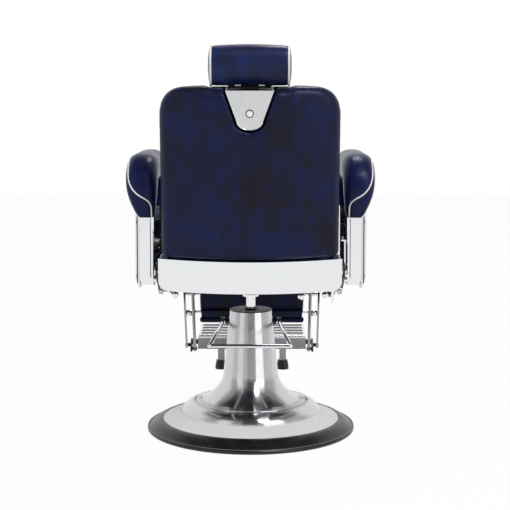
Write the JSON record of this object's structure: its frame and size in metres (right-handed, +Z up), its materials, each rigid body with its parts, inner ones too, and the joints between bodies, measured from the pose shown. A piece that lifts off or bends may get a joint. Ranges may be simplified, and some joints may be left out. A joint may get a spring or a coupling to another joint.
{
  "type": "barber chair",
  "caption": "Hydraulic barber chair on a round pedestal, with reclining back, sliding headrest, arm loops, pump pedal and a leg rest with a level footplate.",
  "frame": {"origin": "centre of the round base on the floor", "axes": "+Z up, the sitter faces -Y, +X is the sitter's left"},
  "size_m": [0.718, 0.9902, 1.1337],
  "materials": {
    "floor_rubber": "moulded black rubber floor ring, satin",
    "black_rubber": "soft black rubber",
    "black_plastic": "moulded black plastic",
    "steel": "dark zinc-plated steel",
    "brushed_steel": "fine brushed stainless steel",
    "chrome": "bright chrome plate",
    "polished_aluminium": "polished and satin aluminium",
    "brass": "plain brass washer",
    "plywood": "dark stained plywood",
    "navy_leather": "glossy navy leather with dark mottling and white piping"
  },
  "bodies": {
    "base": {"rubber_ring": "floor_rubber", "base_plate": "steel", "base_disc": "chrome", "base_dome": "polished_aluminium", "column_shell": "polished_aluminium", "column_cap": "black_plastic", "piston_seal": "black_rubber", "pump_cylinder": "steel", "pedal_bushes": "black_plastic", "base_bolts": "steel"},
    "pedal": {"pedal_shaft": "steel", "pump_pedal": "chrome"},
    "lift": {"piston": "chrome", "thrust_washer": "brass"},
    "seat": {"swivel_hub": "steel", "hub_bolts": "steel", "seat_rails": "steel", "seat_pan": "plywood", "seat_cushion": "navy_leather", "side_plate_left": "steel", "side_plate_right": "steel", "recline_pins": "chrome", "arm_frame_left": "chrome", "arm_frame_right": "chrome", "arm_cover_left": "chrome", "arm_cover_right": "chrome", "arm_pad_left": "navy_leather", "arm_pad_right": "navy_leather", "arm_bolts": "chrome", "recline_cylinder": "steel"},
    "cylinder_rod": {"recline_rod": "chrome"},
    "back": {"back_board": "plywood", "back_cushion": "navy_leather", "back_cover": "navy_leather", "back_band": "chrome", "back_bracket_left": "steel", "back_bracket_right": "steel", "headrest_housing": "steel", "headrest_shield": "brushed_steel"},
    "button": {"release_button": "chrome"},
    "tongue": {"headrest_tongue": "brushed_steel"},
    "headrest": {"headrest_board": "plywood", "headrest_pad": "navy_leather"},
    "lever": {"lever_arm": "chrome", "lever_grip": "black_plastic"},
    "legrest": {"leg_shaft": "steel", "leg_bars": "chrome", "calf_board": "plywood", "calf_pad": "navy_leather", "calf_bolts": "chrome"},
    "links": {"link_left": "steel", "link_right": "steel"},
    "rods": {"foot_rods": "chrome"},
    "footrest": {"footplate": "polished_aluminium", "heel_skirt": "brushed_steel", "foot_pins": "steel", "foot_posts": "brushed_steel", "foot_tips": "black_rubber"}
  },
  "joints": [
    {"name": "pedal_pump", "type": "hinge", "parent": "base", "child": "pedal", "pos_m": [0, -0.034, 0.316], "axis": [-1, 0, 0], "range_deg": [0, 20], "stiffness_Nm_per_rad": 6, "springref_deg": -17.19},
    {"name": "seat_lift", "type": "slide", "parent": "base", "child": "lift", "axis": [0, 0, 1], "range_m": [-0.03, 0.14]},
    {"name": "seat_swivel", "type": "hinge", "parent": "lift", "child": "seat", "pos_m": [0, 0, 0.408], "axis": [0, 0, 1], "continuous": true},
    {"name": "back_recline", "type": "hinge", "parent": "seat", "child": "back", "pos_m": [0, 0.17, 0.5], "axis": [-1, 0, 0], "range_deg": [0, 40]},
    {"name": "headrest_slide", "type": "slide", "parent": "back", "child": "tongue", "axis": [0, 0.1702, 0.9854], "range_m": [0, 0.09]},
    {"name": "headrest_tilt", "type": "hinge", "parent": "tongue", "child": "headrest", "pos_m": [0, 0.29309, 1.07748], "axis": [1, 0, 0], "range_deg": [-15, 15]},
    {"name": "button_press", "type": "slide", "parent": "back", "child": "button", "axis": [0, -0.9854, 0.1702], "range_m": [0, 0.003], "stiffness_N_per_m": 700, "springref_m": -0.002},
    {"name": "lever_pull", "type": "hinge", "parent": "seat", "child": "lever", "pos_m": [0, 0.132, 0.486], "axis": [-1, 0, 0], "range_deg": [0, 18], "stiffness_Nm_per_rad": 3, "springref_deg": -11.46},
    {"name": "legrest_raise", "type": "hinge", "parent": "seat", "child": "legrest", "pos_m": [0, -0.24, 0.44], "axis": [-1, 0, 0], "range_deg": [0, 40]},
    {"name": "link_turn", "type": "hinge", "parent": "back", "child": "links", "pos_m": [0, 0.195, 0.446], "axis": [-1, 0, 0], "range_deg": [-40, 0]},
    {"name": "rod_turn", "type": "hinge", "parent": "seat", "child": "rods", "pos_m": [0, -0.216, 0.432], "axis": [-1, 0, 0], "range_deg": [0, 40]},
    {"name": "footplate_level", "type": "hinge", "parent": "legrest", "child": "footrest", "pos_m": [0, -0.41039, 0.1715], "axis": [-1, 0, 0], "range_deg": [-40, 0]},
    {"name": "cylinder_stroke", "type": "slide", "parent": "seat", "child": "cylinder_rod", "axis": [0, -1, 0], "range_m": [0, 0.04056]}
  ],
  "couplings": [
    {"joint": "legrest_raise", "follows": "back_recline", "ratio": 1},
    {"joint": "link_turn", "follows": "back_recline", "ratio": -1},
    {"joint": "rod_turn", "follows": "back_recline", "ratio": 1},
    {"joint": "footplate_level", "follows": "back_recline", "ratio": -1},
    {"joint": "cylinder_stroke", "follows": "back_recline", "m_per_rad": 0.058083}
  ]
}
